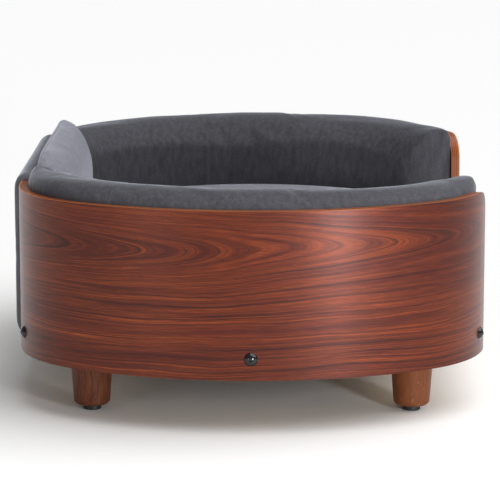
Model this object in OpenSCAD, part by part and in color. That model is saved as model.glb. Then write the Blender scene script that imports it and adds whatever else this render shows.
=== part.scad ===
// Pet sofa bed: two bent plywood end shells stand round an upholstered oval platform.
// The front is low and open (-Y), the back (+Y) has a flat padded panel.
// Origin: centre of the footprint on the floor, +Z up, the long axis is X.

/* [Overall] */
// Width of the bed from its front to its back
bed_width = 600; // [560:10:640]
// Length of the straight middle part, between the two curved ends
straight_length = 432; // [400:4:480]
// How far each curved end reaches out past the straight part
end_depth = 209; // [200:1:215]
// Radius of the tighter bend at each corner of the oval
corner_radius = 171; // [165:1:176]

/* [End shells] */
// Thickness of the bent plywood
ply = 12; // [9:1:15]
// Height of the plywood shells
shell_height = 210; // [190:5:230]
// Clear height under the shells
floor_gap = 68; // [60:1:80]
// Length of the straight tail at the back of each shell
back_tail = 30; // [20:1:40]
// How far the front end stops inside the curved part
front_setback = 20; // [10:1:30]
// Radius of the rounded top corner at the front end
front_corner_radius = 40; // [10:1:45]

/* [Platform] */
// Thickness of the plywood deck
deck_thickness = 15; // [12:1:18]
// Height of the battens and edge blocks under the deck
batten_height = 33; // [30:1:40]
// Width of the two long battens
batten_width = 60; // [55:1:60]
// Distance of the batten and leg lines from the middle of the bed
leg_y = 204; // [198:1:204]
// Distance of each leg from the middle of the bed, along its length
leg_x = 290; // [270:5:295]

/* [Legs] */
// Diameter of a leg at its top
leg_top_diameter = 55; // [44:1:58]
// Diameter of a leg at its foot
leg_foot_diameter = 46; // [36:1:50]
// Diameter of the nail-on glide
glide_diameter = 23; // [18:1:28]
// Thickness of the glide below the leg
glide_height = 7.5; // [3:0.5:9]

/* [Bolts] */
// Diameter of the domed bolt head
bolt_head_diameter = 17; // [14:0.5:20]
// Shank diameter of the shell bolts and leg bolts
bolt_diameter = 6; // [6:1:8]
// Height of the bolt line above the bottom edge of the shells
bolt_rise = 27; // [24:1:30]

/* [Upholstery] */
// Height of the bolster crest above the plywood edge
bolster_rise = 17; // [10:1:25]
// Thickness of the bolster beside its front and back ends
bolster_end_thickness = 46; // [40:1:60]
// Height of the middle of the seat cushion above the floor
seat_top = 226; // [215:1:240]
// Thickness of the loose back pillow
pillow_thickness = 55; // [45:1:65]
// Height of the top of the back pillow above the floor
pillow_top = 306; // [295:1:315]
// Height of the top of the front rail above the floor
front_rail_top = 165; // [150:1:190]

/* [Hidden] */
$fn = 96;
half_width = bed_width / 2;
end_x = straight_length / 2;
corner_y = half_width - corner_radius;
// The wide bend is tangent to both corner bends and reaches out to end_depth
mid_radius = (2 * half_width * corner_radius - half_width * half_width - end_depth * end_depth)
           / (2 * corner_radius - 2 * end_depth);
mid_x = end_depth - mid_radius;
bend_angle = atan2(corner_y, -mid_x);
shell_top = floor_gap + shell_height;
fit_gap = 0.3;
cushion_gap = 2;

// Levels of the platform
plate_thickness = 2;
leg_top = floor_gap + 7 - plate_thickness;
batten_bottom = leg_top + plate_thickness;
deck_bottom = batten_bottom + batten_height;
deck_top = deck_bottom + deck_thickness;
bolt_z = floor_gap + bolt_rise;
deck_inset = ply + fit_gap;
bend_cuts = 12;
batten_half_length = 322;
block_depth = 40;
block_width = 45;
dust_cover_thickness = 1;

// Fasteners
insert_diameter = 10;
insert_length = 16;
bolt_length = 38;
head_height = 5;
hex_across = 4.2;
hex_depth = 3;
side_bolt_x = 54;
side_bolt_angle = asin(side_bolt_x / corner_radius);
screw_diameter = 3.5;
screw_head_diameter = 7.5;
screw_head_height = 2;
deck_screw_length = 32;
plate_screw_length = 14;
leg_bolt_depth = 30;
plate_side = 50;
plate_hole_offset = 18;

// Upholstered panels
panel_board = 9;
panel_y = half_width - ply;
panel_bottom = floor_gap + 9;
panel_top = shell_top + 5;
back_board_half = end_x - back_tail - 6;
back_pad_half = end_x - back_tail - fit_gap;
back_board_top = shell_top - 4;
back_bulge = 8;
back_edge_radius = 10;
flap_thickness = 5;
flap_height = 40;
front_board_half = end_x + front_setback - 6;
front_pad_half = end_x + front_setback - fit_gap;
front_bulge = 11;
front_y = panel_y - panel_board;
rail_cover = 5;
front_board_top = front_rail_top - 8;

// Joining plates across each back corner
join_plate_length = 60;
join_plate_height = 70;
join_plate_z = 165;
join_plate_thickness = 2;
join_screw_x = 18;
join_screw_z = 22;
join_screw_length = 9;

// Cushions
bolster_front = front_setback + 20;
bolster_back = -back_tail;
bolster_liner = 3;
liner_front = bolster_front + 4;
bolster_crown = 20;
bolster_top = shell_top + bolster_rise;
hollow_half = half_width - ply - bolster_end_thickness;
hollow_radius = sqrt(end_x * end_x + hollow_half * hollow_half);
cover_thickness = 1.5;
pillow_y = panel_y - flap_thickness - fit_gap;
pillow_front = pillow_y - pillow_thickness;
pillow_half = end_x - back_tail - cushion_gap;
pillow_round = 22;
seat_front = -(front_y - rail_cover - cushion_gap);
seat_back = pillow_front - cushion_gap;
seat_edge_drop = 30;

// ---- Oval plan ----

// A pie slice that cuts one bend out of a full circle
module slice(from, to, reach) {
    middle = (from + to) / 2;
    polygon([[0, 0],
             [reach * cos(from), reach * sin(from)],
             [2 * reach * cos(middle), 2 * reach * sin(middle)],
             [reach * cos(to), reach * sin(to)]]);
}

// Plan of one curved end: its open side lies on x = 0 and it bulges towards +x
module half_oval(inset) {
    translate([mid_x, 0]) intersection() {
        circle(r = mid_radius - inset);
        slice(-bend_angle, bend_angle, 1.5 * mid_radius);
    }
    for (side = [-1, 1])
        translate([0, side * corner_y]) intersection() {
            circle(r = corner_radius - inset);
            slice(side * bend_angle, side * 90, 1.5 * corner_radius);
        }
}

// Points round one end of the deck, which is sawn in short straight cuts inside the bends.
// The side is 1 for the right-hand end and -1 for the left-hand end.
function sawn_end(side, inset) = concat(
    [for (i = [0 : bend_cuts])
        let (a = -90 + i * (90 - bend_angle) / bend_cuts, r = corner_radius - inset)
            side * [end_x + r * cos(a), -corner_y + r * sin(a)]],
    [for (i = [1 : bend_cuts - 1])
        let (a = bend_angle * (2 * i / bend_cuts - 1), r = mid_radius - inset)
            side * [end_x + mid_x + r * cos(a), r * sin(a)]],
    [for (i = [0 : bend_cuts])
        let (a = bend_angle + i * (90 - bend_angle) / bend_cuts, r = corner_radius - inset)
            side * [end_x + r * cos(a), corner_y + r * sin(a)]]);

// Plan of the bent wall: the curved end and a straight tail at the back
module wall_plan() {
    difference() {
        half_oval(0);
        half_oval(ply);
    }
    translate([-back_tail, half_width - ply]) square([back_tail, ply]);
}

// What is cut away at the front end: the setback and the rounded top corner
module front_end_cut() {
    corner_z = shell_height - front_corner_radius;
    corner_x = front_setback + front_corner_radius;
    translate([-1, -half_width - 1, -1]) cube([front_setback + 1, 2 * ply, shell_height + 2]);
    difference() {
        translate([front_setback - 1, -half_width - 1, corner_z])
            cube([front_corner_radius + 1, 2.5 * ply, front_corner_radius + 1]);
        translate([corner_x, -half_width + 3 * ply, corner_z])
            rotate([90, 0, 0]) cylinder(r = front_corner_radius, h = 4 * ply);
    }
}

// ---- Frame of one end: x outward from the end line, y towards the back ----

// Puts a child built in the end's own frame at the right-hand end
module at_right() {
    translate([end_x, 0, 0]) children();
}

// The same at the left-hand end, mirrored
module at_left() {
    mirror([1, 0, 0]) translate([end_x, 0, 0]) children();
}

// Puts a child on each bolt line of one end: origin on the outer face, +x outward
module at_bolts() {
    translate([end_depth, 0, bolt_z]) children();
    for (side = [-1, 1])
        translate([0, side * corner_y, bolt_z]) rotate([0, 0, side * (90 - side_bolt_angle)])
            translate([corner_radius, 0, 0]) children();
}

// A cylinder that starts at x = from and runs inward by length
module inward_rod(from, length, diameter) {
    translate([from - length, 0, 0]) rotate([0, 90, 0]) cylinder(d = diameter, h = length);
}

module end_shell() {
    difference() {
        translate([0, 0, floor_gap]) linear_extrude(shell_height) wall_plan();
        translate([0, 0, floor_gap]) front_end_cut();
        at_bolts() inward_rod(1, ply + 2, bolt_diameter + 0.6);
    }
}

// Turned section of a bolt: x is the radius and y runs outward along the axis
module bolt_section() {
    head_radius = bolt_head_diameter / 2;
    dome_radius = (head_radius * head_radius + head_height * head_height) / (2 * head_height);
    intersection() {
        translate([0, head_height - dome_radius]) circle(r = dome_radius);
        square([head_radius, head_height]);
    }
    translate([0, -bolt_length]) square([bolt_diameter / 2, bolt_length]);
}

module shell_bolt() {
    rotate([0, 90, 0]) difference() {
        rotate_extrude() bolt_section();
        translate([0, 0, head_height - hex_depth])
            cylinder(d = hex_across / cos(30), h = hex_depth + 1, $fn = 6);
    }
}

module threaded_insert() {
    difference() {
        inward_rod(-ply - fit_gap, insert_length, insert_diameter);
        inward_rod(1, bolt_length + 2, bolt_diameter);
    }
}

// Solid wood block behind each shell bolt, shaped to the inside of the shell
module edge_blocks() {
    difference() {
        intersection() {
            at_bolts() translate([-block_depth - ply, -block_width / 2, batten_bottom - bolt_z])
                cube([block_depth + ply, block_width, batten_height]);
            translate([0, 0, batten_bottom]) linear_extrude(batten_height) half_oval(deck_inset);
        }
        at_bolts() inward_rod(1, bolt_length + 3, bolt_diameter);
        at_bolts() inward_rod(0, ply + fit_gap + insert_length, insert_diameter);
        block_screw_points() screw(deck_screw_length);
    }
}

// Two deck screws go down into every edge block
module block_screw_points() {
    at_bolts() for (side = [-1, 1])
        translate([-ply - 30, side * 13, deck_top - bolt_z]) children();
}

// ---- Screws: origin at the top of the head, the shank points down ----

module screw(length) {
    translate([0, 0, -length]) cylinder(d = screw_diameter, h = length);
    translate([0, 0, -screw_head_height])
        cylinder(d1 = screw_diameter, d2 = screw_head_diameter, h = screw_head_height);
}

module batten_screw_points() {
    for (side = [-1, 1]) for (x = [-250, -90, 90, 250])
        translate([x, side * leg_y, deck_top]) children();
}

// ---- Platform ----

module base_deck_body() {
    difference() {
        translate([0, 0, deck_bottom]) linear_extrude(deck_thickness)
            polygon(concat(sawn_end(1, deck_inset), sawn_end(-1, deck_inset)));
        translate([-front_pad_half, -half_width, deck_bottom - 1])
            cube([2 * front_pad_half, half_width - front_y, deck_thickness + 2]);
        batten_screw_points() screw(deck_screw_length);
        at_right() block_screw_points() screw(deck_screw_length);
        at_left() block_screw_points() screw(deck_screw_length);
        panel_screw_points() screw(deck_screw_length);
    }
}

module batten(side) {
    difference() {
        translate([-batten_half_length, side * leg_y - batten_width / 2, batten_bottom])
            cube([2 * batten_half_length, batten_width, batten_height]);
        batten_screw_points() screw(deck_screw_length);
        leg_points() translate([0, 0, leg_top]) cylinder(d = bolt_diameter, h = leg_bolt_depth);
        leg_points() plate_screw_points() screw(plate_screw_length);
    }
}

// Thin cloth stapled under the deck between the battens keeps dust out
module dust_cover_body() {
    half = leg_y - batten_width / 2 - 1;
    translate([-batten_half_length, -half, deck_bottom - dust_cover_thickness])
        cube([2 * batten_half_length, 2 * half, dust_cover_thickness]);
}

// ---- Legs ----

module leg_point(x_side, y_side) {
    translate([x_side * leg_x, y_side * leg_y, 0]) children();
}

module leg_points() {
    for (x_side = [-1, 1]) for (y_side = [-1, 1]) leg_point(x_side, y_side) children();
}

// Plate screws are driven upward through the plate into the batten
module plate_screw_points() {
    for (x = [-1, 1]) for (y = [-1, 1])
        translate([x * plate_hole_offset, y * plate_hole_offset, leg_top])
            mirror([0, 0, 1]) children();
}

module leg_body() {
    foot_radius = leg_foot_diameter / 2;
    foot_round = 3;
    difference() {
        rotate_extrude() {
            polygon([[0, glide_height], [foot_radius - foot_round, glide_height],
                     [foot_radius, glide_height + foot_round],
                     [leg_top_diameter / 2, leg_top], [0, leg_top]]);
        }
        translate([0, 0, leg_top - leg_bolt_depth])
            cylinder(d = bolt_diameter, h = leg_bolt_depth + 1);
        translate([0, 0, glide_height - 1]) cylinder(d = 2.4, h = 13);
    }
}

module leg_plate() {
    difference() {
        translate([-plate_side / 2, -plate_side / 2, leg_top])
            cube([plate_side, plate_side, plate_thickness]);
        translate([0, 0, leg_top - 1]) cylinder(d = bolt_diameter, h = plate_thickness + 2);
        plate_screw_points() screw(plate_screw_length);
    }
}

module glide() {
    pad_round = 1.2;
    pad_radius = glide_diameter / 2;
    rotate_extrude() {
        square([pad_radius - pad_round, glide_height]);
        translate([0, pad_round]) square([pad_radius, glide_height - pad_round]);
        translate([pad_radius - pad_round, pad_round]) circle(r = pad_round, $fn = 24);
    }
    translate([0, 0, glide_height]) cylinder(d = 2.4, h = 12);
}

// ---- Upholstered panels ----

// Screws through a board into the edge of the deck, four at the front and four at the back
module panel_screw_points() {
    for (x = [-150, -50, 50, 150]) {
        translate([x, panel_y + panel_board, deck_bottom + deck_thickness / 2])
            rotate([-90, 0, 0]) children();
        translate([x, -panel_y, deck_bottom + deck_thickness / 2])
            rotate([90, 0, 0]) children();
    }
}

module join_screw_points() {
    for (x_side = [-1, 1]) for (x = [-1, 1]) for (z = [-1, 1])
        translate([x_side * (end_x - back_tail) + x * join_screw_x,
                   panel_y - join_plate_thickness, join_plate_z + z * join_screw_z])
            rotate([90, 0, 0]) children();
}

// Section of the back pad: the outer face bulges, the top wraps over the board
module back_pad_section() {
    outer = half_width + back_bulge;
    bulge_z = (panel_bottom + panel_top) / 2;
    bulge_half = (panel_top - panel_bottom) / 2 - back_edge_radius;
    // radius of the shallow arc that swells out by back_bulge over the height of the panel
    bulge_radius = (bulge_half * bulge_half + back_bulge * back_bulge) / (2 * back_bulge);
    intersection() {
        translate([outer - bulge_radius, bulge_z]) circle(r = bulge_radius, $fn = 180);
        translate([panel_y + panel_board, panel_bottom])
            square([back_bulge + ply, panel_top - panel_bottom - back_edge_radius / 2]);
    }
    translate([panel_y + panel_board, panel_bottom + back_edge_radius])
        square([ply - panel_board, panel_top - panel_bottom - 2 * back_edge_radius]);
    translate([panel_y - flap_thickness, back_board_top + fit_gap])
        square([ply + flap_thickness, panel_top - back_board_top - fit_gap]);
    translate([panel_y - flap_thickness, panel_top - flap_height])
        square([flap_thickness - fit_gap, flap_height]);
}

// Section of the front pad, drawn with y outward: it laps over the top of its board
module front_pad_section() {
    lip = (front_bulge + panel_board + rail_cover) / 2;
    translate([panel_y, panel_bottom])
        square([front_bulge, front_rail_top - panel_bottom - lip]);
    translate([front_y - rail_cover, front_rail_top - 2 * lip])
        square([2 * lip, lip]);
    translate([front_y - rail_cover + lip, front_rail_top - lip]) circle(r = lip);
}

// ---- Cushions ----

// Plan of the space inside the bolsters: a circle round the middle of the bed, cut off
// square along the front and the back
module hollow_plan(inset) {
    intersection() {
        circle(r = hollow_radius - inset, $fn = 240);
        square([2 * hollow_radius, 2 * (hollow_half - inset)], center = true);
    }
}

module bolster_plan(inset) {
    difference() {
        union() {
            half_oval(inset);
            translate([bolster_back, 0]) square([-bolster_back, half_width - inset]);
        }
        translate([-end_x, 0]) hollow_plan(0);
        translate([-half_width, -half_width]) square([half_width + bolster_front, half_width]);
        translate([-half_width, -1]) square([half_width, corner_y]);
    }
}

module bolster_body() {
    low = deck_top + fit_gap;
    crown_step = bolster_crown / 2;
    outer = ply + bolster_liner + fit_gap;
    translate([0, 0, low]) linear_extrude(bolster_top - crown_step - low) bolster_plan(outer);
    translate([0, 0, bolster_top - crown_step]) linear_extrude(crown_step) intersection() {
        bolster_plan(outer + crown_step);
        translate([0, crown_step]) bolster_plan(outer);
        translate([0, -crown_step]) bolster_plan(outer);
    }
}

// Thin bent hardboard that the bolster is wrapped round, fixed inside the shell
module bolster_liner_body() {
    low = deck_top + fit_gap;
    translate([0, 0, low]) linear_extrude(shell_top - 8 - low) difference() {
        half_oval(ply + fit_gap);
        half_oval(ply + bolster_liner);
        translate([-half_width, -half_width]) square([half_width + liner_front, half_width]);
        translate([-half_width, -1]) square([half_width + 2, bed_width]);
    }
}

// Plan of the seat cushion, clear of the bolsters, the pillow and the front rail
module seat_plan(shrink) {
    front = seat_front + shrink;
    back = seat_back - shrink;
    front_half = end_x - cushion_gap - shrink;
    intersection() {
        hollow_plan(cushion_gap + shrink);
        translate([-hollow_radius, -hollow_half]) square([2 * hollow_radius, hollow_half + back]);
    }
    translate([-front_half, front]) square([2 * front_half, -front]);
}

// Two layers give the seat its crown: a full slab and a smaller one on top
module seat_solid(shrink) {
    low = deck_top + fit_gap + shrink;
    step_z = seat_top - seat_edge_drop;
    translate([0, 0, low]) linear_extrude(step_z - low - shrink) seat_plan(shrink);
    translate([0, 0, step_z - 1 - shrink]) linear_extrude(seat_edge_drop + 1)
        seat_plan(shrink + seat_edge_drop);
}

// Section of the back pillow in the y-z plane, with a round top
module pillow_section(shrink) {
    low = deck_top + fit_gap + shrink;
    y_front = pillow_front + shrink;
    y_back = pillow_y - shrink;
    top = pillow_top - shrink;
    round_radius = pillow_round - shrink;
    translate([y_front, low]) square([y_back - y_front, top - round_radius - low]);
    translate([y_front + round_radius, low])
        square([y_back - y_front - 2 * round_radius, top - low]);
    for (y = [y_front + round_radius, y_back - round_radius])
        translate([y, top - round_radius]) circle(r = round_radius);
}

module pillow_solid(shrink) {
    half = pillow_half - shrink;
    translate([-half, 0, 0]) rotate([90, 0, 90]) linear_extrude(2 * half)
        pillow_section(shrink);
}

// ---- One module for each part ----

module end_shell_left() {
    color([0.36, 0.19, 0.13]) difference() {
        at_left() end_shell();
        join_screw_points() screw(join_screw_length);
    }
}

module end_shell_right() {
    color([0.36, 0.19, 0.13]) difference() {
        at_right() end_shell();
        join_screw_points() screw(join_screw_length);
    }
}

module base_deck() { color([0.76, 0.62, 0.43]) base_deck_body(); }
module front_batten() { color([0.80, 0.66, 0.46]) batten(-1); }
module back_batten() { color([0.80, 0.66, 0.46]) batten(1); }
module edge_blocks_left() { color([0.78, 0.64, 0.45]) at_left() edge_blocks(); }
module edge_blocks_right() { color([0.78, 0.64, 0.45]) at_right() edge_blocks(); }
module dust_cover() { color([0.10, 0.10, 0.11]) dust_cover_body(); }

module threaded_inserts() {
    color([0.72, 0.66, 0.40]) {
        at_left() at_bolts() threaded_insert();
        at_right() at_bolts() threaded_insert();
    }
}

module shell_bolts_left() { color([0.05, 0.05, 0.06]) at_left() at_bolts() shell_bolt(); }
module shell_bolts_right() { color([0.05, 0.05, 0.06]) at_right() at_bolts() shell_bolt(); }

module deck_screws() {
    color([0.70, 0.70, 0.72]) {
        batten_screw_points() screw(deck_screw_length);
        at_left() block_screw_points() screw(deck_screw_length);
        at_right() block_screw_points() screw(deck_screw_length);
    }
}

module back_panel_board() {
    color([0.74, 0.60, 0.42]) difference() {
        translate([-back_board_half, panel_y, panel_bottom + 2])
            cube([2 * back_board_half, panel_board, back_board_top - panel_bottom - 2]);
        panel_screw_points() screw(deck_screw_length);
        join_screw_points() screw(join_screw_length);
    }
}

module back_panel_pad() {
    color([0.33, 0.33, 0.35]) translate([-back_pad_half, 0, 0]) rotate([90, 0, 90])
        linear_extrude(2 * back_pad_half) back_pad_section();
}

module front_rail_board() {
    color([0.74, 0.60, 0.42]) difference() {
        translate([-front_board_half, -panel_y, panel_bottom + 2])
            cube([2 * front_board_half, panel_board, front_board_top - panel_bottom - 2]);
        panel_screw_points() screw(deck_screw_length);
    }
}

module front_rail_pad() {
    color([0.33, 0.33, 0.35]) difference() {
        mirror([0, 1, 0]) translate([-front_pad_half, 0, 0]) rotate([90, 0, 90])
            linear_extrude(2 * front_pad_half) front_pad_section();
        translate([-front_board_half, -panel_y, panel_bottom - 1])
            cube([2 * front_board_half, panel_board, front_board_top - panel_bottom + 1]);
    }
}

module panel_screws() { color([0.70, 0.70, 0.72]) panel_screw_points() screw(deck_screw_length); }

module joining_plates() {
    color([0.66, 0.66, 0.68]) difference() {
        for (x_side = [-1, 1])
            translate([x_side * (end_x - back_tail) - join_plate_length / 2,
                       panel_y - join_plate_thickness, join_plate_z - join_plate_height / 2])
                cube([join_plate_length, join_plate_thickness, join_plate_height]);
        join_screw_points() screw(join_screw_length);
    }
}

module joining_screws() { color([0.70, 0.70, 0.72]) join_screw_points() screw(join_screw_length); }

module bolster_liner_left() { color([0.45, 0.33, 0.22]) at_left() bolster_liner_body(); }
module bolster_liner_right() { color([0.45, 0.33, 0.22]) at_right() bolster_liner_body(); }
module bolster_left() { color([0.30, 0.30, 0.32]) at_left() bolster_body(); }
module bolster_right() { color([0.30, 0.30, 0.32]) at_right() bolster_body(); }

module leg_plates() { color([0.66, 0.66, 0.68]) leg_points() leg_plate(); }

module leg_plate_screws() {
    color([0.70, 0.70, 0.72]) leg_points() plate_screw_points() screw(plate_screw_length);
}

module leg_hanger_bolts() {
    color([0.66, 0.66, 0.68]) leg_points() translate([0, 0, leg_top - leg_bolt_depth])
        cylinder(d = bolt_diameter, h = 2 * leg_bolt_depth);
}

module leg_front_left() { color([0.30, 0.18, 0.11]) leg_point(-1, -1) leg_body(); }
module leg_front_right() { color([0.30, 0.18, 0.11]) leg_point(1, -1) leg_body(); }
module leg_back_left() { color([0.30, 0.18, 0.11]) leg_point(-1, 1) leg_body(); }
module leg_back_right() { color([0.30, 0.18, 0.11]) leg_point(1, 1) leg_body(); }
module leg_glides() { color([0.06, 0.06, 0.06]) leg_points() glide(); }

module seat_foam() { color([0.88, 0.84, 0.70]) seat_solid(cover_thickness); }

module seat_cover() {
    color([0.36, 0.36, 0.38]) difference() {
        seat_solid(0);
        seat_solid(cover_thickness);
    }
}

module pillow_fill() { color([0.93, 0.93, 0.92]) pillow_solid(cover_thickness); }

module pillow_cover() {
    color([0.45, 0.45, 0.48]) difference() {
        pillow_solid(0);
        pillow_solid(cover_thickness);
    }
}

end_shell_left();
end_shell_right();
base_deck();
front_batten();
back_batten();
edge_blocks_left();
edge_blocks_right();
threaded_inserts();
shell_bolts_left();
shell_bolts_right();
deck_screws();
dust_cover();
back_panel_board();
back_panel_pad();
front_rail_board();
front_rail_pad();
panel_screws();
joining_plates();
joining_screws();
bolster_liner_left();
bolster_liner_right();
bolster_left();
bolster_right();
leg_plates();
leg_plate_screws();
leg_hanger_bolts();
leg_front_left();
leg_front_right();
leg_back_left();
leg_back_right();
leg_glides();
seat_foam();
seat_cover();
pillow_fill();
pillow_cover();
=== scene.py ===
"""Pet sofa bed: bent plywood end shells on turned legs, with velvet upholstery."""
import bpy, bmesh, math
import numpy as np
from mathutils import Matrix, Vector
from mathutils.bvhtree import BVHTree


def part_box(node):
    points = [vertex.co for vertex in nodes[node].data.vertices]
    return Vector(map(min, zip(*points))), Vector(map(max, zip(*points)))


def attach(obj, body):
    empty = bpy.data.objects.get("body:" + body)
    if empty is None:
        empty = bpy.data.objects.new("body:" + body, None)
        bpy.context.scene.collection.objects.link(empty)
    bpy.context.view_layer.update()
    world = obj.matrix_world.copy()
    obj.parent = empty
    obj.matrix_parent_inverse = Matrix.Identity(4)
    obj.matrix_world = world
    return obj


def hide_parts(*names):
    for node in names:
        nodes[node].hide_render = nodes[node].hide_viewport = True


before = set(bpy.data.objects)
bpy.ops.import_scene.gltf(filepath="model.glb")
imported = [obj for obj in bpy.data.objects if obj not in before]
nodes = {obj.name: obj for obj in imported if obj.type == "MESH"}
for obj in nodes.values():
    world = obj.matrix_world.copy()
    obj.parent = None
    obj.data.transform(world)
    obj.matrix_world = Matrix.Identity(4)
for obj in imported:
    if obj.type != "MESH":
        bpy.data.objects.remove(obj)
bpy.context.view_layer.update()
MM = 0.001

# ---------------------------------------------------------------- end shells
# Two shells of 12 mm plywood, pressed round a mould into half an oval and veneered
# in flat-sawn walnut. Satin lacquer covers the faces and the bare sawn edges.
shell_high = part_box("end_shell_right")[1]
PLY = 12 * MM
HALF_WIDTH = shell_high.y
END_DEPTH = 209 * MM
CORNER_RADIUS = 171 * MM
END_X = shell_high.x - END_DEPTH
CORNER_Y = HALF_WIDTH - CORNER_RADIUS
MID_RADIUS = ((2 * HALF_WIDTH * CORNER_RADIUS - HALF_WIDTH ** 2 - END_DEPTH ** 2)
              / (2 * CORNER_RADIUS - 2 * END_DEPTH))
MID_X = END_X + END_DEPTH - MID_RADIUS
BEND = math.atan2(CORNER_Y, END_X - MID_X)
RIM_Z = shell_high.z


def linear(code):
    """An sRGB hex colour such as "8a4b2d" as linear RGBA."""
    parts = [int(code[i:i + 2], 16) / 255 for i in (0, 2, 4)]
    return [p / 12.92 if p <= 0.04045 else ((p + 0.055) / 1.055) ** 2.4 for p in parts] + [1.0]


def node(tree, kind, inputs=(), stops=(), **settings):
    """Adds a node to a tree. Inputs go to its sockets in order, or by name or number: values,
    outputs, or nodes, which give their first output. Stops are a colour ramp's positions and
    hex colours."""
    made = tree.nodes.new("ShaderNode" + kind)
    for key, value in settings.items():
        setattr(made, key, value)
    for key, value in inputs.items() if isinstance(inputs, dict) else enumerate(inputs):
        if isinstance(value, bpy.types.Node):
            value = value.outputs[0]
        if isinstance(value, bpy.types.NodeSocket):
            tree.links.new(value, made.inputs[key])
        else:
            made.inputs[key].default_value = value
    for _ in stops[2:]:
        made.color_ramp.elements.new(0.5)
    for element, (position, code) in zip(made.color_ramp.elements if stops else (), stops):
        element.position = position
        element.color = linear(code)
    return made


def material(name, **values):
    """A new material with its Principled shader. Values sets sockets, spaces as underscores."""
    made = bpy.data.materials.new(name)
    made.use_nodes = True
    shader = made.node_tree.nodes["Principled BSDF"]
    for key, value in values.items():
        shader.inputs[key.replace("_", " ")].default_value = value
    return made, made.node_tree, shader


def dress(piece, look):
    """Gives a piece one material on all its faces."""
    piece.data.materials.clear()
    piece.data.materials.append(look)


def ease_edges(piece, width, segments=3, angle=35):
    """Rounds the sharp edges of a CAD piece with modifiers only."""
    weld = piece.modifiers.new("weld", "WELD")
    weld.merge_threshold = 0.01 * MM
    bevel = piece.modifiers.new("eased_edges", "BEVEL")
    bevel.width = width
    bevel.segments = segments
    bevel.limit_method = "ANGLE"
    bevel.angle_limit = math.radians(angle)
    bevel.use_clamp_overlap = True
    normals = piece.modifiers.new("normals", "WEIGHTED_NORMAL")
    normals.keep_sharp = False
    normals.weight = 80


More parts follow.
